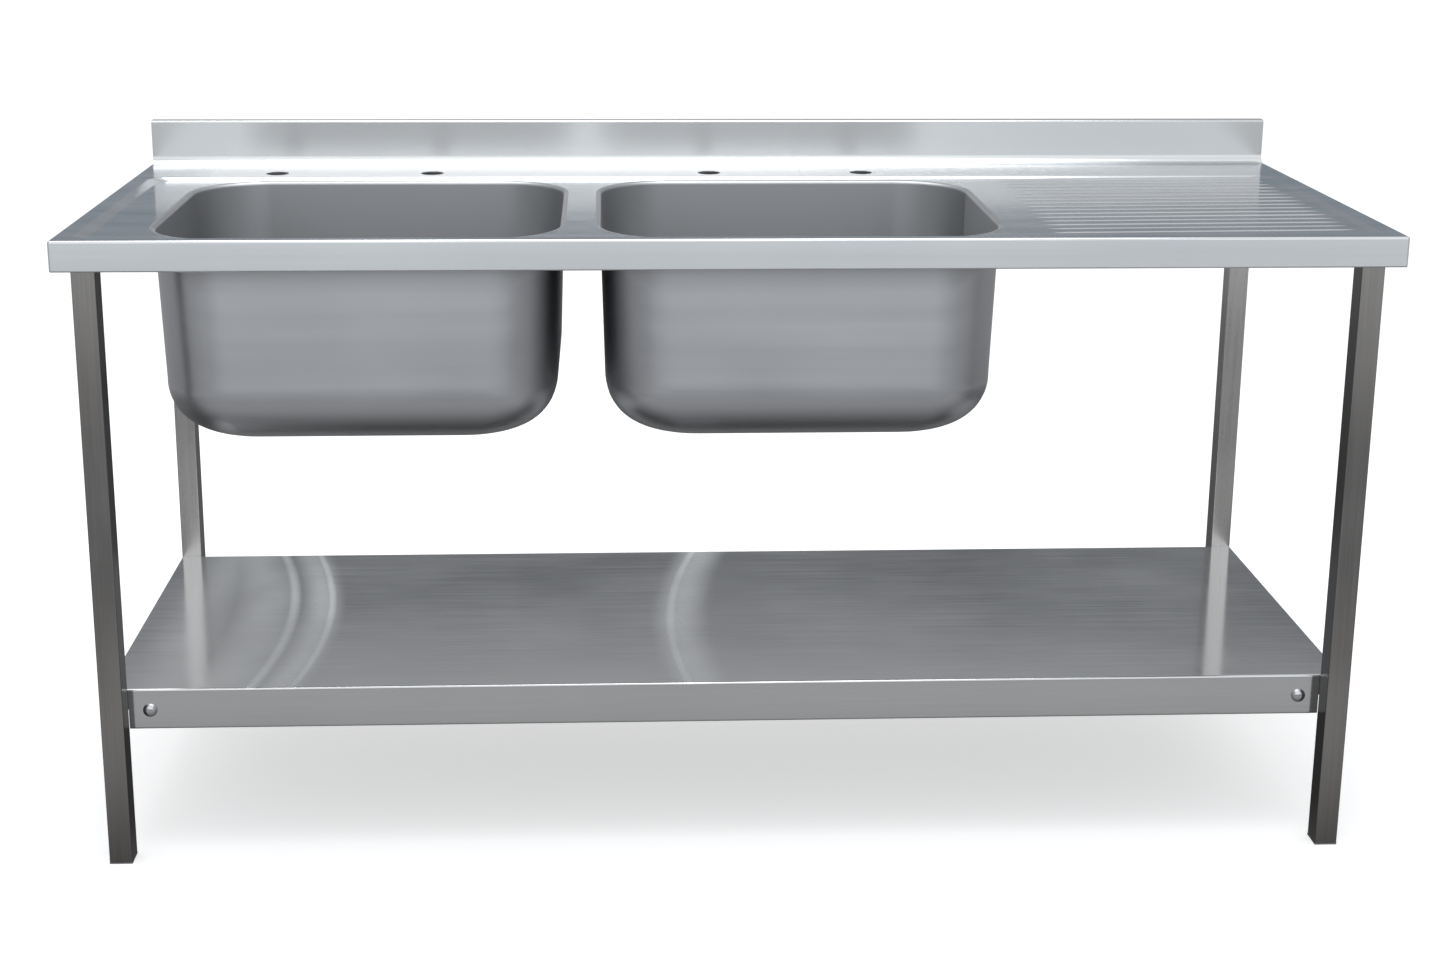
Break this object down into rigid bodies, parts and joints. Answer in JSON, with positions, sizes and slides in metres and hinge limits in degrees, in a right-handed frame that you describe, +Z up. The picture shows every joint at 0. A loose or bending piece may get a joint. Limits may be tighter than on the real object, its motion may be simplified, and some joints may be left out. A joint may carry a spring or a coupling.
{
  "type": "two-bowl catering sink",
  "caption": "Stainless steel catering sink with pressed bowls, a ribbed right-hand drainer and a rear upstand, on a square-tube stand with an undershelf.",
  "frame": {"origin": "on the floor under the middle of the sink's length and depth", "axes": "+X along the length towards the drainer end, +Y from the front towards the wall side, +Z up"},
  "size_m": [1.8, 0.65, 0.97],
  "materials": {
    "satin_stainless": "satin, fine-brushed along the length",
    "polished_stainless": "polished",
    "tube_stainless": "satin, brushed along the tube",
    "fastener_steel": "bright, lightly polished",
    "black_rubber": "matt",
    "grey_plastic": "matt"
  },
  "bodies": {
    "sink": {"back_left_leg": "tube_stainless", "back_left_leg_cap": "grey_plastic", "back_left_shelf_bolt": "fastener_steel", "back_left_shelf_nut": "fastener_steel", "back_left_shelf_tab": "tube_stainless", "back_left_top_stud": "fastener_steel", "back_left_top_stud_nut": "fastener_steel", "back_right_leg": "tube_stainless", "back_right_leg_cap": "grey_plastic", "back_right_shelf_bolt": "fastener_steel", "back_right_shelf_nut": "fastener_steel", "back_right_shelf_tab": "tube_stainless", "back_right_top_stud": "fastener_steel", "back_right_top_stud_nut": "fastener_steel", "back_top_rail": "tube_stainless", "divider_channel": "satin_stainless", "drainer_channel_1": "satin_stainless", "drainer_channel_2": "satin_stainless", "front_left_leg": "tube_stainless", "front_left_leg_cap": "grey_plastic", "front_left_shelf_bolt": "fastener_steel", "front_left_shelf_nut": "fastener_steel", "front_left_shelf_tab": "tube_stainless", "front_left_top_stud": "fastener_steel", "front_left_top_stud_nut": "fastener_steel", "front_right_leg": "tube_stainless", "front_right_leg_cap": "grey_plastic", "front_right_shelf_bolt": "fastener_steel", "front_right_shelf_nut": "fastener_steel", "front_right_shelf_tab": "tube_stainless", "front_right_top_stud": "fastener_steel", "front_right_top_stud_nut": "fastener_steel", "left_bowl": "satin_stainless", "left_shelf_rail": "tube_stainless", "left_top_rail": "tube_stainless", "left_waste_body": "polished_stainless", "left_waste_nut": "fastener_steel", "left_waste_seal": "black_rubber", "left_waste_washer": "black_rubber", "right_bowl": "satin_stainless", "right_shelf_rail": "tube_stainless", "right_top_rail": "tube_stainless", "right_waste_body": "polished_stainless", "right_waste_nut": "fastener_steel", "right_waste_seal": "black_rubber", "right_waste_washer": "black_rubber", "shelf_stiffener": "satin_stainless", "undershelf": "satin_stainless", "worktop": "satin_stainless"},
    "left_stopper": {"left_plug": "black_rubber", "left_plug_knob": "polished_stainless"},
    "right_stopper": {"right_plug": "black_rubber", "right_plug_knob": "polished_stainless"}
  },
  "joints": [
    {"name": "left_plug_lift", "type": "slide", "parent": "sink", "child": "left_stopper", "axis": [0, 0, 1], "range_m": [0, 0.32]},
    {"name": "right_plug_lift", "type": "slide", "parent": "sink", "child": "right_stopper", "axis": [0, 0, 1], "range_m": [0, 0.32]}
  ]
}
